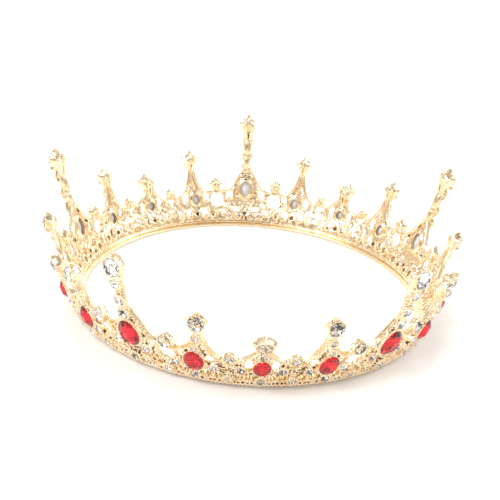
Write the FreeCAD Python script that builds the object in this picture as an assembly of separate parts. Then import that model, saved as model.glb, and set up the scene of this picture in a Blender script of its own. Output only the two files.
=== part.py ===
import FreeCAD, Part
import math
import os

# Full-round costume crown. Twenty cast openwork panels stand on a flat base
# rim and lean outwards; they repeat tall, medium, short, medium, five times
# round. Millimetres, +Z up, origin at the centre of the rim's underside.
# Angles are measured clockwise from +Y when seen from above.

# ---------------------------------------------------------------- dimensions
RIM_R = 70.0            # inner radius of the rim: the head opening
RIM_FLAT_R = 72.3       # the flat underside ends here
RIM_OUT_R = 72.9        # outer radius, under the panels' feet
RIM_T = 1.3             # rim thickness
RIM_TOP_FILLET = 0.35   # rolled inner edge, upper side

LEAN = math.radians(18.5)   # the wall leans outwards by this
WALL_R = 73.1               # inner radius of the wall, extended down to z = 0
WALL_T = 1.8                # wall thickness, measured horizontally
FOOT_R, FOOT_Z = 71.4, 10.5 # inner radius of the panels' feet; they thicken below this height
SET_R = 75.8                # radius, at z = 0, of the cone the stones' girdles follow

PITCH = 18.0            # angle between neighbouring panels
SEAM_TM = 10.68         # seam between a tall and a medium panel, from the tall one
SEAM_MS = 27.46         # seam between a medium and a short panel, from the tall one
M_SHIFT = 0.26          # medium panels sit this far towards the short ones

# red oval stones: width, height, height of the centre up the slope
TALL_RED = (9.2, 11.6, 16.3)
MEDIUM_RED = (7.5, 9.4, 11.5)
SHORT_RED = (6.4, 7.8, 11.3)

# finials: x, slope height, stone diameter, cup radius, cup depth, star radius
TALL_FINIAL = (0.0, 47.6, 6.6, 3.95, 4.4, 4.8)
MEDIUM_FINIAL = (1.95, 31.0, 5.6, 3.40, 3.9, 4.2)
SHORT_FINIAL = (0.0, 22.4, 5.6, 3.40, 3.9, 4.1)
# how far each cup's front is turned down from the wall's own direction, degrees
TALL_NOD, MEDIUM_NOD, SHORT_NOD = -18.0, -18.0, 11.0
TALL_BRIDGE_NOD, SMALL_BRIDGE_NOD = -14.0, -4.0

# bridge cups over the seams: slope height, stone diameter, cup radius, depth
TALL_BRIDGE = (18.2, 4.7, 2.95, 3.2)
SMALL_BRIDGE = (15.2, 3.5, 2.35, 2.6)

# small round crystals: x, slope height, diameter
TALL_STEM = [(0.0, 26.2, 3.9), (0.0, 32.5, 3.9), (0.0, 40.2, 3.7)]
MEDIUM_STEM = [(0.55, 18.0, 2.6), (1.15, 23.4, 3.0)]
SHORT_STEM = [(0.0, 16.7, 2.7)]
TALL_SIDE = [(-6.6, 10.6, 3.1), (6.6, 10.6, 3.1)]
MEDIUM_SIDE = [(-6.9, 9.0, 3.0), (7.0, 9.2, 3.0)]
SHORT_SIDE = [(-7.4, 9.6, 3.1), (7.4, 9.6, 3.1)]
BOTTOM_V, BOTTOM_D = 4.2, 3.2
BOTTOM_V_M = 4.35
LOWER_V, LOWER_D = 4.3, 3.0

S, C = math.sin(LEAN), math.cos(LEAN)
T = math.tan(LEAN)
V = FreeCAD.Vector

os.makedirs("parts", exist_ok=True)


# ------------------------------------------------------------------- helpers
def at_angle(shape, deg):
    s = shape.copy()
    s.rotate(V(0, 0, 0), V(0, 0, 1), -deg)
    return s


def mirror_x(shape):
    return shape.mirror(V(0, 0, 0), V(1, 0, 0))


def on_wall(shape, v, w=0.0, deg=0.0):
    """Place a shape built about the origin (its +Z outwards from the wall, its
    +Y up the slope) at slope height v and offset w from the stone cone."""
    m = FreeCAD.Matrix(-1, 0, 0, 0,
                       0, S, C, SET_R + v * S + w * C,
                       0, C, -S, v * C - w * S,
                       0, 0, 0, 1)
    s = shape.copy()
    s.transformShape(m)
    if deg:
        s.rotate(V(0, 0, 0), V(0, 0, 1), -deg)
    return s


def nodded(shape, deg):
    """Turn a shape built about the origin so that its front looks down."""
    s = shape.copy()
    s.rotate(V(0, 0, 0), V(1, 0, 0), deg)
    return s


def x_to_deg(x, v):
    return math.degrees(math.asin(x / (SET_R + v * S)))


def polygon_ring(n, a, b, z, turn=0.0):
    pts = []
    for i in range(n):
        t = 2 * math.pi * (i + turn) / n
        pts.append(V(a * math.cos(t), b * math.sin(t), z))
    return pts


def facetted(rings):
    """Closed solid through stacked rings of points, all with the same count."""
    faces = []
    n = len(rings[0])
    faces.append(Part.Face(Part.makePolygon(rings[0] + [rings[0][0]])))
    for lo, hi in zip(rings[:-1], rings[1:]):
        for i in range(n):
            j = (i + 1) % n
            faces.append(Part.Face(Part.makePolygon([lo[i], lo[j], hi[j], hi[i], lo[i]])))
    faces.append(Part.Face(Part.makePolygon(rings[-1] + [rings[-1][0]])))
    shell = Part.Shell(faces)
    solid = Part.Solid(shell)
    if solid.Volume < 0:
        solid.reverse()
    return solid


def gem(w, h, crown, pavilion, n, table=0.6, culet=0.22, girdle=0.24):
    """Brilliant-like stone: its girdle is centred on z = 0."""
    a, b = w / 2.0, h / 2.0
    return facetted([
        polygon_ring(n, a * culet, b * culet, -pavilion, 0.5),
        polygon_ring(n, a, b, -girdle / 2, 0.5),
        polygon_ring(n, a, b, girdle / 2, 0.5),
        polygon_ring(n, a * table, b * table, crown, 0.5)])


def round_gem(d):
    return gem(d, d, 0.17 * d, 0.36 * d, 10)


def red_gem(w, h):
    return gem(w, h, 0.20 * w, 0.27 * w, 12, table=0.55, culet=0.25, girdle=0.4)


def bowl(r, depth, lip=0.35):
    """Solid cup: a short rim, then a rounded back that closes to a point."""
    pts = [V(0, 0, lip), V(r, 0, lip), V(r, 0, -0.3)]
    for i in range(1, 7):
        t = math.radians(15 * i)
        pts.append(V(r * math.cos(t) if i < 6 else 0.0, 0, -0.3 - (depth - 0.3) * math.sin(t)))
    pts.append(pts[0])
    face = Part.Face(Part.makePolygon(pts))
    return face.revolve(V(0, 0, 0), V(0, 0, 1), 360)


def cup(r, depth):
    """Small open collet for a round crystal."""
    return Part.makeCone(r * 0.72, r, depth + 0.25, V(0, 0, -depth), V(0, 0, 1))


def oval(a, b, z0, z1):
    """Elliptic cylinder, half-axes a (x) and b (y)."""
    if abs(a - b) < 1e-6:
        return Part.makeCylinder(a, z1 - z0, V(0, 0, z0))
    if a > b:
        e = Part.Ellipse(V(a, 0, z0), V(0, b, z0), V(0, 0, z0))
    else:
        e = Part.Ellipse(V(0, b, z0), V(-a, 0, z0), V(0, 0, z0))
    return Part.Face(Part.Wire(e.toShape())).extrude(V(0, 0, z1 - z0))


def star(r_out, r_in, z0, z1, points=5):
    pts = []
    for i in range(2 * points):
        t = math.pi / 2 + math.pi * i / points
        r = r_out if i % 2 == 0 else r_in
        pts.append(V(r * math.cos(t), r * math.sin(t), z0))
    pts.append(pts[0])
    return Part.Face(Part.makePolygon(pts)).extrude(V(0, 0, z1 - z0))


def sector(a0, a1, z0, z1):
    """The wall's cone between two angles, thicker inwards at its foot."""
    pts = [V(0, FOOT_R, z0), V(0, WALL_R + WALL_T + z0 * T, z0),
           V(0, WALL_R + WALL_T + z1 * T, z1), V(0, WALL_R + z1 * T, z1),
           V(0, WALL_R + FOOT_Z * T, FOOT_Z)]
    pts.append(pts[0])
    f = Part.Face(Part.makePolygon(pts))
    f.rotate(V(0, 0, 0), V(0, 0, 1), -a0)
    return f.revolve(V(0, 0, 0), V(0, 0, 1), -(a1 - a0))


def prism(points):
    """Outline in (x, slope height), pushed through the wall along Y."""
    p = [V(x, 60, v * C) for x, v in points]
    p.append(p[0])
    return Part.Face(Part.makePolygon(p)).extrude(V(0, 50, 0))


def slot(x, v, a, b, tilt=0.0):
    """Oval hole through the wall, tilted anticlockwise in degrees."""
    s = oval(a, b, 0, 50)
    s.rotate(V(0, 0, 0), V(0, 0, 1), tilt)
    s.rotate(V(0, 0, 0), V(1, 0, 0), 90)      # local y -> z, local z -> -y
    s.translate(V(x, 110, v * C))
    return s


def smooth(points, step=4):
    """Catmull-Rom curve through the points, as a finer polyline."""
    out = []
    n = len(points)
    for i in range(n - 1):
        p0 = points[max(i - 1, 0)]
        p1, p2 = points[i], points[i + 1]
        p3 = points[min(i + 2, n - 1)]
        for k in range(step):
            t = k / float(step)
            q = []
            for d in (0, 1):
                q.append(0.5 * (2 * p1[d] + (p2[d] - p0[d]) * t
                                + (2 * p0[d] - 5 * p1[d] + 4 * p2[d] - p3[d]) * t * t
                                + (3 * p1[d] - p0[d] - 3 * p2[d] + p3[d]) * t ** 3))
            out.append(tuple(q))
    out.append(points[-1])
    return out


def ellipse_x(v, vc, a, b):
    return a * math.sqrt(max(0.0, 1 - ((v - vc) / b) ** 2))


# ------------------------------------------------------------------ base rim
def base_rim():
    f = RIM_TOP_FILLET
    pts = [V(0, RIM_R, 0), V(0, RIM_FLAT_R, 0), V(0, RIM_OUT_R, 0.9),
           V(0, RIM_OUT_R, RIM_T), V(0, RIM_R + f, RIM_T), V(0, RIM_R, RIM_T - f)]
    pts.append(pts[0])
    return Part.Face(Part.makePolygon(pts)).revolve(V(0, 0, 0), V(0, 0, 1), 360)


# -------------------------------------------------------------------- panels
Z_FOOT = RIM_T
V_FOOT = RIM_T / C

# upper edge of each panel, from its left seam to its right seam
TALL_EDGE_R = [(1.30, 27.4), (1.9, 26.2), (3.2, 24.3), (4.6, 21.9), (5.9, 19.6),
               (7.6, 17.4), (9.6, 15.9), (11.3, 15.4), (12.8, 16.1), (13.8, 17.6),
               (14.9, 18.6), (17.0, 18.7)]
TALL_STEM_R = [(1.30, 27.4), (1.35, 29.6), (1.25, 32.3), (1.65, 33.6), (1.9, 36.6),
               (1.65, 39.8), (1.25, 41.4), (1.5, 43.2), (1.9, 46.5)]
MEDIUM_EDGE_T = [(-13.0, 18.7), (-11.0, 18.5), (-9.9, 17.3), (-8.7, 15.6), (-7.1, 14.9),
                 (-5.0, 15.3), (-2.9, 17.0), (-1.2, 19.6), (-0.2, 22.4), (0.4, 25.0),
                 (0.75, 27.6), (0.9, 30.0)]
MEDIUM_EDGE_S = [(3.0, 30.0), (3.1, 27.6), (3.2, 25.0), (3.6, 22.2), (4.5, 19.2),
                 (5.9, 16.5), (7.6, 14.3), (9.3, 13.1), (10.8, 13.3), (11.9, 14.8),
                 (13.0, 16.2), (15.0, 16.4)]
SHORT_EDGE_R = [(1.5, 22.0), (1.6, 20.2), (2.3, 18.4), (3.6, 16.7), (5.2, 15.2),
                (7.1, 13.9), (8.8, 13.5), (10.2, 14.4), (11.2, 15.8), (12.2, 16.4),
                (14.0, 16.5)]


def panel(a0, a1, edge, v_top, holes, reds, finial, cups, bridges, stones, nod):
    wall = sector(a0, a1, Z_FOOT, v_top * C)
    outline = [(-22.0, V_FOOT - 1.0)] + edge + [(22.0, V_FOOT - 1.0)]
    body = wall.common(prism(outline))
    body = body.cut(Part.makeCompound([slot(*h) for h in holes]))
    w, h, v = reds
    # collet: an oval bezel wall round the red stone, open at the back
    collet = on_wall(oval(w / 2 + 0.75, h / 2 + 0.75, -2.55, 0.35), v)
    body = body.fuse(collet)
    adds = []
    fx, fv, fd, fr, fdep, fs = finial
    d = x_to_deg(fx, fv)
    adds.append(on_wall(nodded(bowl(fr, fdep), nod), fv, 0.0, d))
    adds.append(on_wall(nodded(star(fs, fs * 0.52, -2.5, -1.3), nod), fv, 0.0, d))
    for x, cv, cd in cups:
        adds.append(on_wall(cup(cd / 2 + 0.33, 1.35), cv, 0.0, x_to_deg(x, cv)))
    for a in adds:
        body = body.fuse(a)
    window = on_wall(oval(w * 0.30, h * 0.33, -6, 3), v)
    body = body.cut(window)
    body = body.cut(Part.makeCompound(bridges + stones))
    # keep between the seams
    body = body.removeSplitter()
    solids = sorted(body.Solids, key=lambda q: -q.Volume)
    if len(solids) > 1:
        print("loose bits:", [round(q.Volume, 3) for q in solids[1:]])
    return solids[0]


def crystal(x, v, d, deg=0.0):
    return on_wall(round_gem(d), v, 0.0, x_to_deg(x, v) + deg)


def bridge_block(spec, deg, nod):
    v, d, r, dep = spec
    b = on_wall(nodded(bowl(r, dep), nod), v, 0.0, deg)
    s = star(r * 1.18, r * 0.66, -dep * 0.62, -dep * 0.62 + 0.9)
    return b.fuse(on_wall(nodded(s, nod), v, 0.0, deg))


def bridge_cup(spec, deg, nod):
    b = bridge_block(spec, deg, nod).cut(nod_crystal(spec[0], spec[1], nod, deg))
    return b.removeSplitter().Solids[0]


def nod_crystal(v, d, nod, deg=0.0):
    return on_wall(nodded(round_gem(d), nod), v, 0.0, deg)


def tall_panel():
    right = smooth(TALL_EDGE_R)
    stem = smooth(TALL_STEM_R)
    half = list(reversed(stem))[:-1] + right          # from the top of the stem to the seam
    edge = [(-x, v) for x, v in reversed(half)] + half
    holes = []
    for s in (-1, 1):
        holes += [(s * 14.15, 10.9, 2.6, 3.1, 0.0),   # window under the bridge cup
                  (s * 8.3, 13.6, 1.15, 1.35, 0.0),   # beside the collet
                  (s * 4.9, 6.7, 2.1, 1.25, s * -14), # leaf loops of the swag
                  (s * 3.2, 3.3, 0.8, 0.8, 0.0),
                  (s * 7.6, 3.6, 1.15, 1.15, 0.0),
                  (s * 10.6, 5.0, 1.0, 1.25, 0.0)]
    holes.append((0.0, 7.2, 1.2, 0.9, 0.0))
    cups = TALL_STEM + TALL_SIDE + [(0.0, BOTTOM_V, BOTTOM_D)]
    stones = [crystal(*c) for c in cups]
    stones += [on_wall(red_gem(*TALL_RED[:2]), TALL_RED[2]),
               nod_crystal(TALL_FINIAL[1], TALL_FINIAL[2], TALL_NOD)]
    bridges = [bridge_block(TALL_BRIDGE, q * SEAM_TM, TALL_BRIDGE_NOD) for q in (-1, 1)]
    bridges += [lower_block(-SEAM_TM), lower_block(SEAM_TM)]
    return panel(-SEAM_TM, SEAM_TM, edge, 48.5, holes, TALL_RED, TALL_FINIAL, cups, bridges, stones, TALL_NOD)


def lower_block(deg):
    return on_wall(cup(LOWER_D / 2 + 0.33, 1.35), LOWER_V, 0.0, deg)


def medium_panel():
    edge = smooth(MEDIUM_EDGE_T) + smooth(MEDIUM_EDGE_S)
    a0 = SEAM_TM - PITCH - M_SHIFT
    a1 = SEAM_MS - PITCH - M_SHIFT
    holes = [(-10.05, 10.9, 2.3, 3.1, 0.0),
             (-5.5, 12.3, 1.0, 1.3, 20),
             (5.5, 12.2, 1.0, 1.4, -20),
             (-4.0, 5.1, 1.7, 2.1, 0.0),
             (3.9, 5.0, 1.6, 1.9, 0.0),
             (8.6, 5.0, 1.25, 1.7, 0.0),
             (12.3, 11.6, 1.0, 0.9, 0.0)]
    cups = MEDIUM_STEM + MEDIUM_SIDE + [(0.0, BOTTOM_V_M, BOTTOM_D)]
    stones = [crystal(*c) for c in cups]
    stones += [on_wall(red_gem(*MEDIUM_RED[:2]), MEDIUM_RED[2]),
               nod_crystal(MEDIUM_FINIAL[1], MEDIUM_FINIAL[2], MEDIUM_NOD,
                           x_to_deg(MEDIUM_FINIAL[0], MEDIUM_FINIAL[1]))]
    bridges = [bridge_block(TALL_BRIDGE, a0, TALL_BRIDGE_NOD), bridge_block(SMALL_BRIDGE, a1, SMALL_BRIDGE_NOD),
               lower_block(a0), lower_block(a1)]
    return panel(a0, a1, edge, 32.0, holes, MEDIUM_RED, MEDIUM_FINIAL, cups, bridges, stones,
                 MEDIUM_NOD)


def short_panel():
    right = smooth(SHORT_EDGE_R)
    edge = [(-x, v) for x, v in reversed(right)] + right
    a1 = 2 * PITCH - SEAM_MS
    holes = []
    for s in (-1, 1):
        holes += [(s * 5.2, 12.0, 1.3, 2.6, s * 12),
                  (s * 3.7, 4.7, 1.4, 1.6, 0.0),
                  (s * 7.7, 5.3, 1.3, 1.5, 0.0),
                  (s * 11.4, 11.6, 1.0, 0.9, 0.0)]
    cups = SHORT_STEM + SHORT_SIDE + [(0.0, BOTTOM_V, BOTTOM_D)]
    stones = [crystal(*c) for c in cups]
    stones += [on_wall(red_gem(*SHORT_RED[:2]), SHORT_RED[2]),
               nod_crystal(SHORT_FINIAL[1], SHORT_FINIAL[2], SHORT_NOD)]
    bridges = [bridge_block(SMALL_BRIDGE, -a1, SMALL_BRIDGE_NOD), bridge_block(SMALL_BRIDGE, a1, SMALL_BRIDGE_NOD),
               lower_block(-a1), lower_block(a1)]
    return panel(-a1, a1, edge, 23.6, holes, SHORT_RED, SHORT_FINIAL, cups, bridges, stones, SHORT_NOD)


# --------------------------------------------------------------------- build
nodes = {}
nodes["base_rim"] = base_rim()

tall = tall_panel()
medium = medium_panel()
medium_m = mirror_x(medium)
short = short_panel()

tall_at = [0, 4, 8, 12, 16]
medium_at = [1, 3, 5, 7, 9, 11, 13, 15, 17, 19]
short_at = [2, 6, 10, 14, 18]


def medium_angle(k):
    """The panel's centre, and the side its short neighbour is on."""
    side = 1 if k % 4 == 1 else -1
    return k * PITCH + side * M_SHIFT, side


for i, k in enumerate(tall_at):
    nodes["tall_panel_%d" % (i + 1)] = at_angle(tall, k * PITCH)
    nodes["tall_red_stone_%d" % (i + 1)] = on_wall(red_gem(*TALL_RED[:2]), TALL_RED[2], 0.0, k * PITCH)
for i, k in enumerate(medium_at):
    a, side = medium_angle(k)
    nodes["medium_panel_%d" % (i + 1)] = at_angle(medium if side > 0 else medium_m, a)
    nodes["medium_red_stone_%d" % (i + 1)] = on_wall(red_gem(*MEDIUM_RED[:2]), MEDIUM_RED[2], 0.0, a)
for i, k in enumerate(short_at):
    nodes["short_panel_%d" % (i + 1)] = at_angle(short, k * PITCH)
    nodes["short_red_stone_%d" % (i + 1)] = on_wall(red_gem(*SHORT_RED[:2]), SHORT_RED[2], 0.0, k * PITCH)

tm = [k * PITCH + s * SEAM_TM for k in tall_at for s in (-1, 1)]
ms = [k * PITCH + s * SEAM_MS for k in tall_at for s in (-1, 1)]


def group(name, shapes):
    nodes[name] = Part.makeCompound(shapes)


tall_cup = bridge_cup(TALL_BRIDGE, 0.0, TALL_BRIDGE_NOD)
small_cup = bridge_cup(SMALL_BRIDGE, 0.0, SMALL_BRIDGE_NOD)
lower_cup = lower_block(0.0).cut(crystal(0.0, LOWER_V, LOWER_D))
group("tall_bridge_cups", [at_angle(tall_cup, a) for a in tm])
group("small_bridge_cups", [at_angle(small_cup, a) for a in ms])
group("lower_bridge_cups", [at_angle(lower_cup, a) for a in tm + ms])

group("tall_finial_crystals", [nod_crystal(TALL_FINIAL[1], TALL_FINIAL[2], TALL_NOD, k * PITCH) for k in tall_at])
group("medium_finial_crystals",
      [nod_crystal(MEDIUM_FINIAL[1], MEDIUM_FINIAL[2], MEDIUM_NOD,
                   medium_angle(k)[0] + medium_angle(k)[1] * x_to_deg(MEDIUM_FINIAL[0], MEDIUM_FINIAL[1]))
       for k in medium_at])
group("short_finial_crystals", [nod_crystal(SHORT_FINIAL[1], SHORT_FINIAL[2], SHORT_NOD, k * PITCH) for k in short_at])
group("tall_stem_crystals", [crystal(x, v, d, k * PITCH) for k in tall_at for x, v, d in TALL_STEM])
group("medium_stem_crystals", [crystal(medium_angle(k)[1] * x, v, d, medium_angle(k)[0])
                               for k in medium_at for x, v, d in MEDIUM_STEM])
group("short_stem_crystals", [crystal(x, v, d, k * PITCH) for k in short_at for x, v, d in SHORT_STEM])
group("side_crystals",
      [crystal(x, v, d, k * PITCH) for k in tall_at for x, v, d in TALL_SIDE]
      + [crystal(medium_angle(k)[1] * x, v, d, medium_angle(k)[0]) for k in medium_at for x, v, d in MEDIUM_SIDE]
      + [crystal(x, v, d, k * PITCH) for k in short_at for x, v, d in SHORT_SIDE])
group("bottom_crystals",
      [crystal(0.0, BOTTOM_V, BOTTOM_D, k * PITCH) for k in tall_at + short_at]
      + [crystal(0.0, BOTTOM_V_M, BOTTOM_D, medium_angle(k)[0]) for k in medium_at])
group("lower_bridge_crystals", [crystal(0.0, LOWER_V, LOWER_D, a) for a in tm + ms])
group("tall_bridge_crystals", [nod_crystal(TALL_BRIDGE[0], TALL_BRIDGE[1], TALL_BRIDGE_NOD, a) for a in tm])
group("small_bridge_crystals", [nod_crystal(SMALL_BRIDGE[0], SMALL_BRIDGE[1], SMALL_BRIDGE_NOD, a) for a in ms])

for name, shape in nodes.items():
    bad = [q for q in shape.Solids if not q.isValid() or q.Volume <= 0]
    if bad or not shape.Solids:
        print("CHECK", name, len(shape.Solids), "solids,", len(bad), "bad")
    shape.exportStep("parts/%s.step" % name)
print(len(nodes), "nodes,", sum(len(s.Solids) for s in nodes.values()), "solids")
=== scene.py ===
import math
import bpy
import bmesh
import numpy as np
from mathutils import Matrix, Vector


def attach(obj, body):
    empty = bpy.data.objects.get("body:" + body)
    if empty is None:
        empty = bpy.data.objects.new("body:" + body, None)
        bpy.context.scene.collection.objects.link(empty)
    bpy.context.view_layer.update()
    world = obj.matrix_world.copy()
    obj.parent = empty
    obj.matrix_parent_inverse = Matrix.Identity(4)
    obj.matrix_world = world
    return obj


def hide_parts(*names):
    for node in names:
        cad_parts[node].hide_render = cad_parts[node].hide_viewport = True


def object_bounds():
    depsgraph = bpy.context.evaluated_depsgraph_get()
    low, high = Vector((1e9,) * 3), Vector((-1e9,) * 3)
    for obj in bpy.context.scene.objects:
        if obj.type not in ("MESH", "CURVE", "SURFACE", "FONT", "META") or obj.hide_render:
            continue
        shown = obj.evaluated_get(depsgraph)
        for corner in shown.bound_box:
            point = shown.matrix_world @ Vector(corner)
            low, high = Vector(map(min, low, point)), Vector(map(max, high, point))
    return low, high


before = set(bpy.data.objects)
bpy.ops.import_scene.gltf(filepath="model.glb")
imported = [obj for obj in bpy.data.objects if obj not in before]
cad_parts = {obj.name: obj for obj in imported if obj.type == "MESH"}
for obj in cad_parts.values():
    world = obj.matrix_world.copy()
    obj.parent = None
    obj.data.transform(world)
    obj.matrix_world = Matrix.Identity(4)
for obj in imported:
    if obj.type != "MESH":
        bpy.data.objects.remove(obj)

CAD_LO, CAD_HI = [list(p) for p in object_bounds()]

# ------------------------------------------------------------------ sizes, mm
LEAN = math.radians(18.5)
S, C = math.sin(LEAN), math.cos(LEAN)
SET_R = 75.8            # cone of the stones' girdles, at z = 0
BACK_W = -2.56          # inner face of the wall, measured from that cone
FOOT_IN, FOOT_Z = 2.14, 10.5    # below this height the inner face comes inwards, by this much at the foot
PITCH = 18.0
SEAM_TM, SEAM_MS, M_SHIFT = 10.68, 27.46, 0.26

TALL_RED = (9.2, 11.6, 16.3)
MEDIUM_RED = (7.5, 9.4, 11.5)
SHORT_RED = (6.4, 7.8, 11.3)
TALL_FINIAL = (0.0, 47.6, 6.6)
MEDIUM_FINIAL = (1.95, 31.0, 5.6)
SHORT_FINIAL = (0.0, 22.4, 5.6)
STEM_W = 0.45           # the tall spires' crystals stand this far proud
# how far each cup's front is turned down from the wall's own direction
TALL_NOD, MEDIUM_NOD, SHORT_NOD = -18.0, -18.0, 11.0
TALL_BRIDGE_NOD, SMALL_BRIDGE_NOD = -14.0, -4.0
TALL_BRIDGE = (18.2, 4.7)
SMALL_BRIDGE = (15.2, 3.5)
TALL_STEM = [(0.0, 26.2, 3.9), (0.0, 32.5, 3.9), (0.0, 40.2, 3.7)]
MEDIUM_STEM = [(0.55, 18.0, 2.6), (1.15, 23.4, 3.0)]
SHORT_STEM = [(0.0, 16.7, 2.7)]
TALL_SIDE = [(-6.6, 10.6, 3.1), (6.6, 10.6, 3.1)]
MEDIUM_SIDE = [(-6.9, 9.0, 3.0), (7.0, 9.2, 3.0)]
SHORT_SIDE = [(-7.4, 9.6, 3.1), (7.4, 9.6, 3.1)]
BOTTOM_V, BOTTOM_D, BOTTOM_V_M = 4.2, 3.2, 4.35
LOWER_V, LOWER_D = 4.3, 3.0

TALL_AT = [0, 4, 8, 12, 16]
MEDIUM_AT = [1, 3, 5, 7, 9, 11, 13, 15, 17, 19]
SHORT_AT = [2, 6, 10, 14, 18]


def med_side(k):
    return 1 if k % 4 == 1 else -1


# -------------------------------------------------------------- wall geometry
def wall(x, v, w):
    """Point of the leaning wall: x across (mm), v up the slope, w outwards."""
    x, v, w = np.broadcast_arrays(np.asarray(x, float), np.asarray(v, float), np.asarray(w, float))
    a = np.arcsin(np.clip(x / (SET_R + v * S), -1, 1))
    r = SET_R + v * S + w * C
    return np.stack([r * np.sin(a), r * np.cos(a), v * C - w * S], -1)


def inward(p, amount=1.0):
    """Moves points of the inner face towards the crown's axis, as the wall
    thickens near its foot."""
    p = np.array(p, float)
    r = np.hypot(p[:, 0], p[:, 1])
    h = amount * FOOT_IN * np.clip((FOOT_Z - p[:, 2]) / (FOOT_Z - 1.3), 0, 1)
    rise = 0.50 * np.clip((p[:, 2] - 1.45) / 2.2, 0, 1)     # openings run inwards and up
    p[:, :2] *= ((r - h) / r)[:, None]
    p[:, 2] += rise * h
    return p


def frame_at(x, v):
    """Origin on the stone cone and the three directions: across, up, out."""
    a = math.asin(x / (SET_R + v * S))
    sa, ca = math.sin(a), math.cos(a)
    return (wall(x, v, 0.0), np.array([ca, -sa, 0.0]),
            np.array([S * sa, S * ca, C]), np.array([C * sa, C * ca, -S]))


def nod(points, x, v, pitch):
    """Turns points about the across axis at (x, v), front down."""
    o, tx, ts, tn = frame_at(x, v)
    c, q = math.cos(math.radians(pitch)), math.sin(math.radians(pitch))
    p = np.asarray(points) - o
    a, b, w = p @ tx, p @ ts, p @ tn
    return o + a[:, None] * tx + (b * c - w * q)[:, None] * ts + (b * q + w * c)[:, None] * tn


def turn(deg):
    """Matrix that turns rows of points clockwise from above by deg."""
    t = math.radians(deg)
    return np.array([[math.cos(t), -math.sin(t), 0], [math.sin(t), math.cos(t), 0], [0, 0, 1]])


def smooth(points, step=4, closed=False):
    p = [np.asarray(q, float) for q in points]
    n = len(p)
    out = []
    for i in range(n if closed else n - 1):
        if closed:
            p0, p1, p2, p3 = p[i - 1], p[i], p[(i + 1) % n], p[(i + 2) % n]
        else:
            p0, p1, p2, p3 = p[max(i - 1, 0)], p[i], p[i + 1], p[min(i + 2, n - 1)]
        for k in range(step):
            t = k / step
            out.append(0.5 * (2 * p1 + (p2 - p0) * t + (2 * p0 - 5 * p1 + 4 * p2 - p3) * t * t
                              + (3 * p1 - p0 - 3 * p2 + p3) * t ** 3))
    if not closed:
        out.append(p[-1])
    return np.array(out)


def resample(path, step, closed=False):
    """Points at equal distances along a path."""
    p = np.asarray(path, float)
    if closed:
        p = np.vstack([p, p[:1]])
    d = np.r_[0, np.cumsum(np.linalg.norm(np.diff(p, axis=0), axis=1))]
    n = max(2, int(round(d[-1] / step)) + (0 if closed else 1))
    t = np.linspace(0, d[-1], n + 1)[:-1] if closed else np.linspace(0, d[-1], n)
    return np.stack([np.interp(t, d, p[:, i]) for i in range(p.shape[1])], -1)


# ------------------------------------------------------------------ mesh soup
def _ico(level):
    bm = bmesh.new()
    bmesh.ops.create_icosphere(bm, subdivisions=level, radius=1.0)
    v = np.array([q.co[:] for q in bm.verts])
    f = [[q.index for q in p.verts] for p in bm.faces]
    bm.free()
    return v, f


ICO = {2: _ico(2), 3: _ico(3)}


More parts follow.
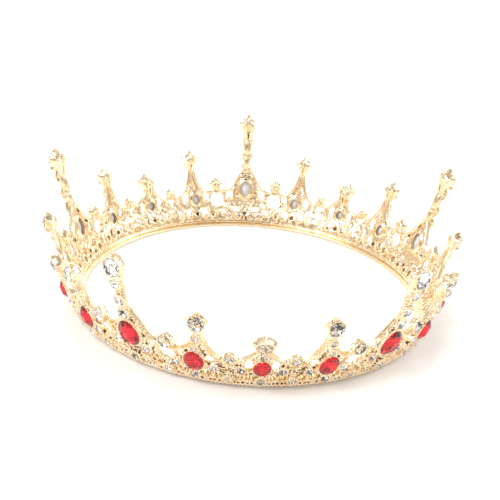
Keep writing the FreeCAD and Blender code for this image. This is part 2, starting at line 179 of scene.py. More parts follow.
class Soup:
    """Closed shells gathered into one mesh."""

    def __init__(self):
        self.v, self.f, self.n = [], [], 0

    def add(self, verts, faces):
        self.v.append(np.asarray(verts, float))
        n = self.n
        self.f.extend([tuple(i + n for i in f) for f in faces])
        self.n += len(verts)

    def verts(self):
        return np.vstack(self.v)

    def bead(self, x, v, w, r, su=1.0, sv=1.0, sw=1.0, rot=0.0, level=2):
        o, tx, ts, tn = frame_at(x, v)
        c, s = math.cos(rot), math.sin(rot)
        a, b = tx * c + ts * s, -tx * s + ts * c
        p, f = ICO[level]
        q = o + w * tn + r * (p[:, :1] * su * a + p[:, 1:2] * sv * b + p[:, 2:] * sw * tn)
        self.add(q, f)

    def wire(self, path, r, closed=False, n=8, inner=False):
        """Round wire through points given in wall coordinates (x, v, w)."""
        path = np.asarray(path, float)
        p = wall(path[:, 0], path[:, 1], path[:, 2])
        self.tube(inward(p) if inner else p, r, closed, n)

    def tube(self, p, r, closed=False, n=8):
        p = np.asarray(p, float)
        m = len(p)
        r = np.broadcast_to(np.asarray(r, float), (m,))
        if closed:
            t = np.roll(p, -1, 0) - np.roll(p, 1, 0)
        else:
            t = np.gradient(p, axis=0)
        t /= np.linalg.norm(t, axis=1)[:, None] + 1e-12
        ref = np.array([0, 0, 1.0]) if abs(t[0, 2]) < 0.9 else np.array([1.0, 0, 0])
        u = np.cross(t[0], ref)
        u /= np.linalg.norm(u)
        us = [u]
        for i in range(1, m):
            u = us[-1] - t[i] * np.dot(us[-1], t[i])
            us.append(u / (np.linalg.norm(u) + 1e-12))
        us = np.array(us)
        ws = np.cross(t, us)
        if closed:      # take up the twist round the loop
            u_end = us[-1] - t[0] * np.dot(us[-1], t[0])
            twist = math.atan2(np.dot(u_end, ws[0]), np.dot(u_end, us[0]))
            a = -twist * np.arange(m) / m
            us, ws = (us * np.cos(a)[:, None] + ws * np.sin(a)[:, None],
                      -us * np.sin(a)[:, None] + ws * np.cos(a)[:, None])
        ang = 2 * np.pi * np.arange(n) / n
        ring = (p[:, None] + r[:, None, None] * (np.cos(ang)[None, :, None] * us[:, None]
                                                 + np.sin(ang)[None, :, None] * ws[:, None]))
        verts = ring.reshape(-1, 3)
        faces = []
        for i in range(m if closed else m - 1):
            j = (i + 1) % m
            for k in range(n):
                l = (k + 1) % n
                faces.append((i * n + k, i * n + l, j * n + l, j * n + k))
        if not closed:
            verts = np.vstack([verts, p[:1] - t[:1] * r[0] * 0.6, p[-1:] + t[-1:] * r[-1] * 0.6])
            a, b = len(verts) - 2, len(verts) - 1
            for k in range(n):
                l = (k + 1) % n
                faces.append((a, l, k))
                faces.append((b, (m - 1) * n + k, (m - 1) * n + l))
        self.add(verts, faces)

    def merge(self, other, x, v, pitch=0.0):
        """Adds another soup, nodded about the point (x, v) so that its front
        looks down by pitch degrees more than the wall does."""
        q = nod(other.verts(), x, v, pitch) if pitch else other.verts()
        self.add(q, other.f)

    def lathe(self, x, v, rings, n=40, shape=None, closed_ends=True, rot=0.0, lift=None):
        """Rings (half-width across, half-width up, w) about the wall's normal
        at (x, v). shape(theta, i) may scale each ring, lift(theta, i) raise it."""
        o, tx, ts, tn = frame_at(x, v)
        ang = 2 * np.pi * np.arange(n) / n + rot
        verts = []
        for i, (a, b, w) in enumerate(rings):
            k = np.ones(n) if shape is None else shape(ang, i)
            h = w + (0.0 if lift is None else lift(ang, i)) + np.zeros(n)
            verts.append(o + (a * k * np.cos(ang))[:, None] * tx + (b * k * np.sin(ang))[:, None] * ts
                         + h[:, None] * tn)
        verts = np.vstack(verts)
        faces = []
        m = len(rings)
        for i in range(m - 1):
            for k in range(n):
                l = (k + 1) % n
                faces.append((i * n + k, i * n + l, (i + 1) * n + l, (i + 1) * n + k))
        if closed_ends:
            faces.append(tuple(range(n))[::-1])
            faces.append(tuple((m - 1) * n + k for k in range(n)))
        else:       # rings close on themselves, as a torus does
            for k in range(n):
                l = (k + 1) % n
                faces.append(((m - 1) * n + k, (m - 1) * n + l, l, k))
        self.add(verts, faces)

    def relief(self, x0, x1, v0, v1, step, field, back, thick):
        """A plate on the wall where field(x, v) > 0 (distance inside, mm). Its
        front is rounded towards its edges."""
        xs = np.arange(x0, x1 + step, step)
        vs = np.arange(v0, v1 + step, step)
        X, Y = np.meshgrid(xs, vs, indexing="ij")
        F = field(X, Y)
        nx, ny = F.shape
        verts, index = [], {}

        def corner(i, j):
            key = (i, j)
            if key not in index:
                index[key] = len(verts)
                verts.append((X[i, j], Y[i, j], F[i, j]))
            return index[key]

        def edge(i, j, k, l):
            if (k, l) < (i, j):
                i, j, k, l = k, l, i, j
            key = (i, j, k, l)
            if key not in index:
                t = min(0.98, max(0.02, F[i, j] / (F[i, j] - F[k, l])))
                index[key] = len(verts)
                verts.append((X[i, j] + t * (X[k, l] - X[i, j]), Y[i, j] + t * (Y[k, l] - Y[i, j]), 0.0))
            return index[key]

        polys, rims = [], []
        inside = F > 0
        any_in = inside[:-1, :-1] | inside[1:, :-1] | inside[1:, 1:] | inside[:-1, 1:]
        for i, j in zip(*np.nonzero(any_in)):
            cs = [(i, j), (i + 1, j), (i + 1, j + 1), (i, j + 1)]
            ins = [inside[c] for c in cs]
            if all(ins):
                polys.append([corner(*c) for c in cs])
                continue
            if sum(ins) == 2 and ins[0] == ins[2]:      # saddle: two corners apart
                for k in range(4):
                    if ins[k]:
                        a, b, c = edge(*cs[k - 1], *cs[k]), corner(*cs[k]), edge(*cs[k], *cs[(k + 1) % 4])
                        polys.append([a, b, c])
                        rims.append((c, a))
                continue
            poly, cuts = [], []
            for k in range(4):
                c, d = cs[k], cs[(k + 1) % 4]
                if ins[k]:
                    poly.append(corner(*c))
                if ins[k] != ins[(k + 1) % 4]:
                    e = edge(*c, *d)
                    poly.append(e)
                    cuts.append((e, ins[k]))
            polys.append(poly)
            out = [e for e, leaving in cuts if leaving]
            into = [e for e, leaving in cuts if not leaving]
            if out and into:
                rims.append((out[0], into[0]))
        p = np.array(verts)
        d = np.clip(p[:, 2], 0, None)
        wf, wb = thick(p[:, 0], p[:, 1], d), back(p[:, 0], p[:, 1], d)
        front, rear = wall(p[:, 0], p[:, 1], wf), inward(wall(p[:, 0], p[:, 1], wb))
        n = len(p)
        faces = [tuple(q[::-1]) for q in polys] + [tuple(i + n for i in q) for q in polys]
        faces += [(a, b, b + n, a + n) for a, b in rims]
        self.add(np.vstack([front, rear]), faces)


def to_mesh(name, verts_mm, faces):
    me = bpy.data.meshes.new(name)
    me.from_pydata((np.asarray(verts_mm) * 0.001).tolist(), [], faces)
    me.validate()
    me.update()
    return me


def fused(name, soup, voxel, passes=1, factor=0.5):
    """Melts the overlapping shells of a soup into one casting."""
    me = bpy.data.meshes.new(name + "_raw")
    me.from_pydata(soup.verts().tolist(), [], soup.f)
    bm = bmesh.new()
    bm.from_mesh(me)
    bmesh.ops.recalc_face_normals(bm, faces=bm.faces)
    bm.to_mesh(me)
    bm.free()
    ob = bpy.data.objects.new(name + "_raw", me)
    bpy.context.scene.collection.objects.link(ob)
    m = ob.modifiers.new("melt", "REMESH")
    m.mode = "VOXEL"
    m.voxel_size = voxel
    m.adaptivity = 0.0
    s = ob.modifiers.new("soften", "SMOOTH")
    s.iterations = passes
    s.factor = factor
    dg = bpy.context.evaluated_depsgraph_get()
    out = bpy.data.meshes.new_from_object(ob.evaluated_get(dg))
    bpy.data.objects.remove(ob)
    bpy.data.meshes.remove(me)
    out.name = name
    out.transform(Matrix.Scale(0.001, 4))
    # drop crumbs
    bm = bmesh.new()
    bm.from_mesh(out)
    seen, parts = set(), []
    for f in bm.verts:
        if f.index in seen:
            continue
        stack, part = [f], []
        seen.add(f.index)
        while stack:
            q = stack.pop()
            part.append(q)
            for e in q.link_edges:
                o = e.other_vert(q)
                if o.index not in seen:
                    seen.add(o.index)
                    stack.append(o)
        parts.append(part)
    big = max(len(p) for p in parts)
    crumbs = [q for p in parts if len(p) < 0.02 * big for q in p]
    if crumbs:
        bmesh.ops.delete(bm, geom=crumbs, context="VERTS")
    bm.to_mesh(out)
    bm.free()
    for p in out.polygons:
        p.use_smooth = True
    print("cast", name, len(out.polygons), "faces,", len(parts), "parts, crumbs", len(crumbs))
    return out


# ------------------------------------------------------------ panel outlines
TALL_EDGE_R = [(1.30, 27.4), (1.9, 26.2), (3.2, 24.3), (4.6, 21.9), (5.9, 19.6),
               (7.6, 17.4), (9.6, 15.9), (11.3, 15.4), (12.8, 16.1), (13.8, 17.6),
               (14.9, 18.6), (17.0, 18.7)]
MEDIUM_EDGE_T = [(-13.0, 18.7), (-11.0, 18.5), (-9.9, 17.3), (-8.7, 15.6), (-7.1, 14.9),
                 (-5.0, 15.3), (-2.9, 17.0), (-1.2, 19.6), (-0.2, 22.4), (0.4, 25.0),
                 (0.75, 27.6), (0.9, 30.0)]
MEDIUM_EDGE_S = [(3.0, 30.0), (3.1, 27.6), (3.2, 25.0), (3.6, 22.2), (4.5, 19.2),
                 (5.9, 16.5), (7.6, 14.3), (9.3, 13.1), (10.8, 13.3), (11.9, 14.8),
                 (13.0, 16.2), (15.0, 16.4)]
SHORT_EDGE_R = [(1.5, 22.0), (1.6, 20.2), (2.3, 18.4), (3.6, 16.7), (5.2, 15.2),
                (7.1, 13.9), (8.8, 13.5), (10.2, 14.4), (11.2, 15.8), (12.2, 16.4),
                (14.0, 16.5)]
V_FOOT = 1.3 / C + 0.02


def polygon_field(X, Y, pts):
    """Distance to a closed outline, positive inside."""
    p = np.asarray(pts, float)
    q = np.roll(p, -1, 0)
    best = np.full(X.shape, 1e9)
    odd = np.zeros(X.shape, bool)
    for (ax, ay), (bx, by) in zip(p, q):
        dx, dy = bx - ax, by - ay
        l2 = dx * dx + dy * dy
        if l2 < 1e-12:
            continue
        t = np.clip(((X - ax) * dx + (Y - ay) * dy) / l2, 0, 1)
        best = np.minimum(best, (X - ax - t * dx) ** 2 + (Y - ay - t * dy) ** 2)
        if ay != by:
            c = ((ay > Y) != (by > Y)) & (X < (bx - ax) * (Y - ay) / (by - ay) + ax)
            odd ^= c
    return np.where(odd, 1, -1) * np.sqrt(best)


def oval_field(X, Y, x, v, a, b, tilt=0.0):
    """Distance outside an oval hole (negative within it)."""
    t = math.radians(tilt)
    u = (X - x) * math.cos(t) + (Y - v) * math.sin(t)
    w = -(X - x) * math.sin(t) + (Y - v) * math.cos(t)
    k0 = np.sqrt((u / a) ** 2 + (w / b) ** 2) + 1e-9
    k1 = np.sqrt((u / a ** 2) ** 2 + (w / b ** 2) ** 2) + 1e-9
    return k0 * (k0 - 1) / k1


def oval_path(x, v, a, b, tilt=0.0, grow=0.0, n=60):
    t = math.radians(tilt)
    g = 2 * np.pi * np.arange(n) / n
    u, w = (a + grow) * np.cos(g), (b + grow) * np.sin(g)
    return np.stack([x + u * math.cos(t) - w * math.sin(t), v + u * math.sin(t) + w * math.cos(t)], -1)


def seam_field(X, Y, a0, a1):
    """Distance inside the two seams, given as angles from the panel's middle."""
    r = SET_R + Y * S
    ang = np.arcsin(np.clip(X / r, -1, 1))
    return np.minimum((ang - math.radians(a0)) * r, (math.radians(a1) - ang) * r)


def lump(x, v, seed, scale=2.2):
    """A gentle fixed unevenness of cast metal, about -1 to 1."""
    s = np.zeros(np.shape(x))
    rng = np.random.default_rng(seed)
    for _ in range(7):
        th, ph, k = rng.uniform(0, 2 * np.pi), rng.uniform(0, 2 * np.pi), rng.uniform(0.7, 1.5) / scale
        s = s + np.sin(2 * np.pi * k * (np.cos(th) * x + np.sin(th) * v) / 1.6 + ph)
    return s / 4.0


# ------------------------------------------------------------- panel details
def round_setting(s, x, v, d, prongs=5, ring=True, deep=-2.45, w=0.0, turn0=0.3, solid=None):
    """Open-backed collet for a round crystal, with little ball prongs."""
    r = d / 2
    rings = [(r + 0.30, w - 0.40), (r + 0.32, w - 0.10), (r + 0.22, w + 0.08), (r + 0.05, w + 0.08),
             (r + 0.0, w - 0.02), (0.62 * r, w - 0.36 * d * 0.62), (0.52 * r, w - 0.36 * d * 0.8 - 0.3),
             (0.50 * r, deep), (0.50 * r + 0.55, deep), (0.62 * r + 0.6, deep * 0.55 + w * 0.4)]
    s.lathe(x, v, [(a, a, q) for a, q in rings], n=28, closed_ends=False)
    for k in range(prongs):
        t = 2 * math.pi * k / prongs + turn0
        s.bead(x + (r + 0.18) * math.cos(t), v + (r + 0.18) * math.sin(t), w + 0.22, 0.36)
    if ring:
        m = int(round(2 * math.pi * (r + 0.62) / 1.08))
        for k in range(m):
            t = 2 * math.pi * (k + 0.5) / m
            bx, bv = x + (r + 0.62) * math.cos(t), v + (r + 0.62) * math.sin(t)
            if solid is None or solid(bx, bv) > -0.3:
                s.bead(bx, bv, w - 0.42, 0.44)


def oval_collet(s, spec, back_depth, hole, solid):
    """Bezel round a red stone: a beaded rim outside, a smooth bowl with an
    oval window behind."""
    w, h, v = spec
    a, b = w / 2, h / 2
    rings = [(a + 0.34, b + 0.34, -0.6), (a + 0.30, b + 0.30, -0.12), (a + 0.18, b + 0.18, 0.06),
             (a + 0.04, b + 0.04, 0.04), (a - 0.02, b - 0.02, -0.08),
             (a * 0.72, b * 0.72, -0.27 * w * 0.45), (hole[0] + 0.25, hole[1] + 0.25, back_depth + 0.55),
             (hole[0], hole[1], back_depth + 0.2), (hole[0] + 0.1, hole[1] + 0.1, back_depth),
             (hole[0] + 0.55, hole[1] + 0.55, back_depth - 0.12),
             (a * 0.80, b * 0.82, back_depth + 0.25), (a + 0.30, b + 0.30, -1.7), (a + 0.34, b + 0.34, -1.0)]
    s.lathe(0.0, v, rings, n=64, closed_ends=False)
    path = resample(oval_path(0.0, v, a + 0.80, b + 0.80), 1.22, True)
    for x, y in path:
        if solid(x, y) > -0.15:
            s.bead(x, y, -0.62, 0.54)
    for t in (0.78, math.pi - 0.78, math.pi + 0.78, -0.78):
        s.bead(a * 1.06 * math.cos(t), v + b * 1.06 * math.sin(t), 0.22, 0.42, 1.1, 0.8, 0.7, rot=t)


def claw_cup(s, x, v, d, R, depth, tip, prong, pitch=0.0):
    """Deep cup whose brim flares into five points, with a fine ridge along each
    and little balls over the stone. From behind it is a star; from above, a
    scalloped dome over its stone."""
    c = Soup()
    r = d / 2
    up = math.pi / 2
    flare = tip / R - 1
    prof = [(0.16, -1.00), (0.48, -0.99), (0.72, -0.91), (0.87, -0.72), (0.95, -0.48), (0.99, -0.24)]
    rings = [(R * a, R * a, depth * w) for a, w in prof]
    rings += [(R, R, -0.12), (0.97 * R, 0.97 * R, 0.18), (r + 0.14, r + 0.14, 0.16), (r - 0.02, r - 0.02, -0.02),
              (0.60 * r, 0.60 * r, -0.21 * d), (0.14 * r, 0.14 * r, -0.36 * d - 0.2)]
    star = [0.05, 0.18, 0.32, 0.48, 0.68, 0.90, 1.0, 0.92, 0, 0, 0, 0]
    rib = [0, 0.012, 0.024, 0.03, 0.03, 0.02, 0, 0, 0, 0, 0, 0]
    droop = [0, 0, 0, 0, 0, 0, -0.35, -0.45, 0, 0, 0, 0]

    def point(t):
        return np.clip(np.cos(5 * (t - up)), 0, 1) ** 0.9

    def shape(t, i):
        return 1.0 + flare * star[i] * point(t) + rib[i] * np.cos(15 * (t - up))

    c.lathe(x, v, rings, n=140, shape=shape, lift=lambda t, i: droop[i] * point(t))
    k2 = prong / 0.6
    for k in range(5):
        t = up + 2 * math.pi * k / 5
        ct, st = math.cos(t), math.sin(t)
        arm = [(0.10 * R, -depth * 1.0), (0.56 * R, -depth * 0.98), (0.84 * R, -depth * 0.80),
               (1.0 * R, -depth * 0.48), (0.45 * R + 0.55 * tip, -depth * 0.20), (tip - 0.30 * k2, -0.42)]
        arm = smooth([(x + a * ct, v + a * st, w) for a, w in arm], 4)
        c.wire(arm, np.linspace(0.50, 0.50, len(arm)) * k2)
        c.bead(x + (r + 0.20) * ct, v + (r + 0.20) * st, 0.16, 0.36 * k2)
        t += math.pi / 5
        c.bead(x + (r + 0.18) * math.cos(t), v + (r + 0.18) * math.sin(t), 0.12, 0.30 * k2)
    s.merge(c, x, v, pitch)


def panel_soup(kind):
    s = Soup()
    if kind == "tall":
        red, a0, a1, seed = TALL_RED, -SEAM_TM, SEAM_TM, 3
        right = smooth(TALL_EDGE_R, 5)
        edge = np.vstack([right[::-1] * [-1, 1], right])[:, :]
        runs = [right, right * [-1, 1]]
        holes = []
        for q in (-1, 1):
            holes += [(q * 13.6, 10.9, 2.55, 3.15, 0), (q * 8.1, 13.4, 1.75, 2.1, q * 20),
                      (q * 5.0, 6.4, 2.15, 1.25, q * 12), (q * 3.1, 2.9, 0.80, 0.75, 0),
                      (q * 7.9, 3.5, 1.30, 1.15, 0), (q * 10.9, 5.0, 1.1, 1.35, 0), (q * 9.7, 8.2, 0.85, 1.1, 0),
                      (q * 2.9, 23.2, 0.70, 1.35, q * 24), (q * 6.35, 17.3, 0.62, 1.5, q * 38)]
        singles = TALL_STEM + TALL_SIDE + [(0.0, BOTTOM_V, BOTTOM_D)]
        window, depth = (2.6, 3.75), -3.15
        x0, x1, v1 = -16, 16, 28
    elif kind == "medium":
        red, seed = MEDIUM_RED, 5
        a0, a1 = SEAM_TM - PITCH - M_SHIFT, SEAM_MS - PITCH - M_SHIFT
        e1, e2 = smooth(MEDIUM_EDGE_T, 5), smooth(MEDIUM_EDGE_S, 5)
        edge = np.vstack([e1, e2])
        runs = [e1[::-1], e2]
        holes = [(-10.0, 11.0, 2.4, 3.3, 0), (-5.5, 12.6, 1.55, 2.3, 18), (5.7, 12.4, 1.60, 2.4, -20),
                 (-2.5, 16.4, 0.85, 1.0, 0), (3.1, 17.2, 0.85, 1.4, 0),
                 (-4.2, 5.2, 1.85, 2.1, 0), (4.2, 5.1, 1.75, 2.0, 0), (8.7, 4.9, 1.35, 1.75, 0),
                 (-8.1, 4.3, 1.0, 1.25, 0), (12.2, 11.6, 1.1, 1.1, 0), (9.6, 11.4, 0.75, 0.9, 0)]
        singles = MEDIUM_STEM + MEDIUM_SIDE + [(0.0, BOTTOM_V_M, BOTTOM_D)]
        window, depth = (1.55, 2.4), -2.95
        x0, x1, v1 = -12.5, 14.5, 30.5
    else:
        red, seed = SHORT_RED, 7
        a1 = 2 * PITCH - SEAM_MS
        a0 = -a1
        right = smooth(SHORT_EDGE_R, 5)
        edge = np.vstack([right[::-1] * [-1, 1], right])
        runs = [right, right * [-1, 1]]
        holes = []
        for q in (-1, 1):
            holes += [(q * 5.0, 11.2, 1.70, 3.5, q * 10), (q * 3.9, 4.7, 1.5, 1.65, 0),
                      (q * 7.9, 5.1, 1.35, 1.65, 0), (q * 11.3, 11.6, 1.1, 1.1, 0), (q * 9.4, 12.0, 0.65, 0.75, 0)]
        singles = SHORT_STEM + SHORT_SIDE + [(0.0, BOTTOM_V, BOTTOM_D)]
        window, depth = (1.4, 2.05), -2.9
        x0, x1, v1 = -13, 13, 22.5

    outline = np.vstack([[(-22.0, V_FOOT)], edge, [(22.0, V_FOOT)]])
    backs = [(x, v, 0.55 * d / 2) for x, v, d in singles[-1:]]

    def field(X, Y):
        f = polygon_field(X, Y, outline)
        for h in holes:
            f = np.minimum(f, oval_field(X, Y, *h) - 0.0)
        f = np.minimum(f, oval_field(X, Y, 0.0, red[2], window[0] + 0.3, window[1] + 0.3))
        for x, v, r in backs:
            f = np.minimum(f, oval_field(X, Y, x, v, r, r))
        f = np.minimum(f, seam_field(X, Y, a0, a1) + 0.12)
        return f

    def front(x, v, d):
        k = np.clip(d / 0.6, 0, 1)
        return BACK_W + 0.50 + 0.62 * np.sqrt(1 - (1 - k) ** 2) + 0.10 * lump(x, v, seed) * k

    def back(x, v, d):
        k = np.clip(d / 0.55, 0, 1)
        return BACK_W + 0.30 + 0.25 * (1 - np.sqrt(1 - (1 - k) ** 2)) + 0.13 * lump(x, v, seed + 1, 1.9) * k

    s.relief(x0, x1, V_FOOT - 0.3, v1, 0.22, field, back, front)

    def inside(x, v):
        return float(field(np.array([x]), np.array([v]))[0])

    def clear(x, v, r):
        """Not on a stone or its collet."""
        if oval_field(np.array([x]), np.array([v]), 0.0, red[2], red[0] / 2 + 1.25, red[1] / 2 + 1.25)[0] < r - 0.3:
            return False
        return all(math.hypot(x - q, v - y) > d / 2 + 0.9 + r * 0.4 for q, y, d in singles)

    # rail and milgrain along the upper edge
    for run in runs:
        keep = [p for p in run if seam_field(np.array([p[0]]), np.array([p[1]]), a0, a1)[0] > 0.35]
        keep = np.array(keep)
        t = np.gradient(keep, axis=0)
        nrm = np.stack([t[:, 1], -t[:, 0]], -1)
        nrm /= np.linalg.norm(nrm, axis=1)[:, None] + 1e-9
        mid = keep[len(keep) // 2] + 0.5 * nrm[len(keep) // 2]
        if inside(mid[0], mid[1]) < inside(*(keep[len(keep) // 2] - 0.5 * nrm[len(keep) // 2])):
            nrm = -nrm
        rail = keep + 0.22 * nrm
        s.wire(np.c_[rail, np.full(len(rail), BACK_W + 0.20)], 0.68, inner=True)
        s.wire(np.c_[rail, np.full(len(rail), -1.55)], 0.50)
        for x, v in resample(keep + 0.40 * nrm, 1.22):
            s.bead(x, v, -0.95, 0.55)
        second = resample(keep + 1.45 * nrm, 1.20)
        for x, v in second:
            if inside(x, v) > 0.25 and clear(x, v, 0.35):
                s.bead(x, v, -0.98, 0.50)

    # a round wire behind each opening and milgrain in front
    for h in holes:
        loop = [p for p in resample(oval_path(*h, grow=0.36), 0.4, True)]
        loop = np.array([(x, max(v, V_FOOT + 0.35)) for x, v in loop])
        if h[2] > 0.7 and seam_field(loop[:, 0], loop[:, 1], a0, a1).min() > 0.15:
            s.wire(np.c_[loop, np.full(len(loop), BACK_W + 0.26)], 0.42, closed=True, inner=True)
        for x, v in resample(oval_path(*h, grow=0.42), 1.16, True):
            if seam_field(np.array([x]), np.array([v]), a0, a1)[0] > 0.25 and v > V_FOOT + 0.5 \
                    and inside(x, v) > 0.05 and clear(x, v, 0.3):
                s.bead(x, v, -1.00, 0.50)

    # foot: a rail on the rim and two rows of beads
    xa = (SET_R + 2 * S) * math.sin(math.radians(a0)) + 0.35
    xb = (SET_R + 2 * S) * math.sin(math.radians(a1)) - 0.35
    n = int(round((xb - xa) / 1.55))
    s.wire([(x, V_FOOT + 0.55, -1.85) for x in np.linspace(xa, xb, 24)], 0.45)
    s.wire([(x, V_FOOT - 0.38, BACK_W + 0.45) for x in np.linspace(xa, xb, 24)], 0.50, inner=True)
    for i in range(n + 1):
        s.bead(xa + (xb - xa) * i / n, V_FOOT - 0.05, -0.98, 0.66)
        s.bead(xa + (xb - xa) * (i + 0.5) / n, V_FOOT + 0.45, -0.85, 0.50)
        s.bead(xa + (xb - xa) * (i + 0.5) / n, V_FOOT + 1.45, -0.98, 0.52)
        s.bead(xa + (xb - xa) * i / n, V_FOOT + 2.30, -1.05, 0.46)

    # granulation over what is left
    rng = np.random.default_rng(seed * 11)
    placed = []
    tries = 1500
    xs = rng.uniform(x0, x1, tries)
    vs = rng.uniform(V_FOOT + 1.4, v1, tries)
    rs = rng.uniform(0.44, 0.66, tries)
    fs = field(xs, vs)
    for x, v, r, f in zip(xs, vs, rs, fs):
        if f > 0.45 and clear(x, v, r) and all((x - p) ** 2 + (v - q) ** 2 > (0.88 * (r + o)) ** 2 for p, q, o in placed):
            placed.append((x, v, r))
            s.bead(x, v, -1.10 + 0.45 * r, r)

    # settings
    oval_collet(s, red, depth, window, inside)
    for x, v, d in singles:
        proud = STEM_W if (kind == "tall" and (x, v, d) in TALL_STEM) else 0.0
        round_setting(s, x, v, d, prongs=5 if d > 3.2 else 4, ring=True, w=proud,
                      solid=inside if v < 26 else None)

    if kind == "tall":
        # spire: spoon-backed links with a grooved top, granulated in front
        s.bead(0, 29.9, -1.85, 1.0, 1.50, 3.35, 1.30, level=3)
        s.bead(0, 36.8, -1.85, 1.0, 2.05, 4.45, 1.40, level=3)
        s.bead(0, 27.1, -1.9, 1.0, 1.45, 0.8, 0.80)
        s.bead(0, 32.9, -1.9, 1.0, 1.35, 0.8, 0.85)
        for q in (-1, 1):
            side = smooth([(q * 0.70, 40.7, -2.35), (q * 0.95, 43.2, -3.15), (q * 1.10, 45.3, -3.95),
                           (q * 0.85, 47.6, -4.60), (q * 0.22, 49.8, -4.60)], 4)
            s.wire(side, np.linspace(0.66, 0.50, len(side)))
            flank = smooth([(q * 1.05, 40.0, -1.5), (q * 1.70, 42.8, -2.3), (q * 2.45, 45.2, -3.1)], 4)
            s.wire(flank, 0.62)
            for v in np.arange(27.4, 44.2, 1.20):
                half = 1.42 + 0.42 * math.exp(-((v - 36.8) / 3.4) ** 2)
                s.bead(q * half, v, -1.05, 0.52)
            for v in np.arange(27.8, 44.4, 1.15):
                if all(math.hypot(1.0, v - y) > d / 2 + 0.2 for _, y, d in TALL_STEM):
                    s.bead(q * 1.0, v, -0.50, 0.52)
                if all(abs(v - y) > d / 2 + 0.35 for _, y, d in TALL_STEM):
                    s.bead(q * 0.42, v + 0.4, -0.20, 0.48)
        s.bead(0, 43.9, -1.5, 1.0, 1.3, 1.8, 1.3)
        claw_cup(s, TALL_FINIAL[0], TALL_FINIAL[1], TALL_FINIAL[2], 3.62, 4.4, 5.45, 0.60, TALL_NOD)
    elif kind == "medium":
        path = smooth([(0.35, 17.2, -1.75), (1.2, 20.8, -1.8), (1.65, 24.6, -1.9), (1.95, 28.0, -2.4)], 5)
        s.wire(path, np.linspace(1.25, 1.0, len(path)))
        for q in (-1, 1):
            side = smooth([(1.95 + q * 0.78, 25.4, -2.4), (1.95 + q * 0.80, 28.2, -3.3),
                           (1.95 + q * 0.6, 30.4, -3.95), (1.95 + q * 0.15, 32.6, -3.9)], 4)
            s.wire(side, np.linspace(0.58, 0.44, len(side)))
            for v in np.arange(18.9, 28.2, 1.15):
                mid = np.interp(v, [17.2, 20.8, 24.6, 28.0], [0.35, 1.2, 1.65, 1.95])
                s.bead(mid + q * 1.30, v, -1.15, 0.54)
                if all(abs(v - y) > d / 2 + 0.3 for _, y, d in MEDIUM_STEM):
                    s.bead(mid + q * 0.5, v, -0.55, 0.47)
        claw_cup(s, MEDIUM_FINIAL[0], MEDIUM_FINIAL[1], MEDIUM_FINIAL[2], 3.15, 3.9, 4.70, 0.54,
                 MEDIUM_NOD)
    else:
        s.bead(0, 17.6, -1.85, 1.0, 1.9, 2.6, 0.85, level=3)
        for q in (-1, 1):
            for v in np.arange(16.4, 20.2, 0.9):
                s.bead(q * (2.05 - 0.16 * (v - 16.4)), v, -1.10, 0.47)
            s.bead(q * 0.5, 18.9, -0.75, 0.47)
            side = smooth([(q * 0.7, 17.2, -2.45), (q * 0.72, 19.6, -3.1), (q * 0.5, 21.8, -3.75), (q * 0.12, 23.7, -3.8)], 4)
            s.wire(side, np.linspace(0.58, 0.44, len(side)))
        claw_cup(s, SHORT_FINIAL[0], SHORT_FINIAL[1], SHORT_FINIAL[2], 3.40, 4.0, 4.85, 0.54, SHORT_NOD)
    return s


# -------------------------------------------------------------------- stones
def brilliant(a, b, crown, depth, n=8, table=0.56, girdle=0.09, turn0=0.0, low=0.45):
    """Facetted stone, half-axes a and b. Returns points, faces and, for each
    face, 0 for the front and 1 for the foiled back."""
    cosh = math.cos(math.pi / n)
    rm = 0.80
    hm = crown * (1 - rm * cosh) / (1 - table)
    rp = low
    hp = -depth * (1 - rp)
    P, F, K = [], [], []

    def ring(r, h, m, off):
        base = len(P)
        for i in range(m):
            t = 2 * math.pi * (i + off) / m + turn0
            P.append((a * r * math.cos(t), b * r * math.sin(t), h))
        return base

    T = ring(table, girdle / 2 + crown, n, 0.0)
    M = ring(rm, girdle / 2 + hm, n, 0.5)
    G = ring(1.0, girdle / 2, 2 * n, 0.0)
    H = ring(1.0, -girdle / 2, 2 * n, 0.0)
    Q = ring(rp, -girdle / 2 + hp * 1.06, n, 0.5)
    P.append((0, 0, -girdle / 2 - depth))
    cul = len(P) - 1
    F.append([T + i for i in range(n)]); K.append(0)
    for i in range(n):
        j = (i + 1) % n
        F.append([T + i, M + i, T + j]); K.append(0)
        F.append([T + i, M + (i - 1) % n, G + 2 * i, M + i]); K.append(0)
        F.append([M + i, G + 2 * i, G + 2 * i + 1]); K.append(0)
        F.append([M + i, G + 2 * i + 1, G + (2 * i + 2) % (2 * n)]); K.append(0)
        F.append([H + 2 * i, Q + i, H + 2 * i + 1]); K.append(1)
        F.append([H + 2 * i + 1, Q + i, H + (2 * i + 2) % (2 * n)]); K.append(1)
        F.append([H + 2 * i, Q + (i - 1) % n, cul, Q + i]); K.append(1)
    for i in range(2 * n):
        j = (i + 1) % (2 * n)
        F.append([G + i, H + i, H + j, G + j]); K.append(0)
    return np.array(P), F, K


def stone_points(P, x, v, w=0.0):
    o, tx, ts, tn = frame_at(x, v)
    return o + P[:, :1] * tx + P[:, 1:2] * ts + (P[:, 2:] + w) * tn


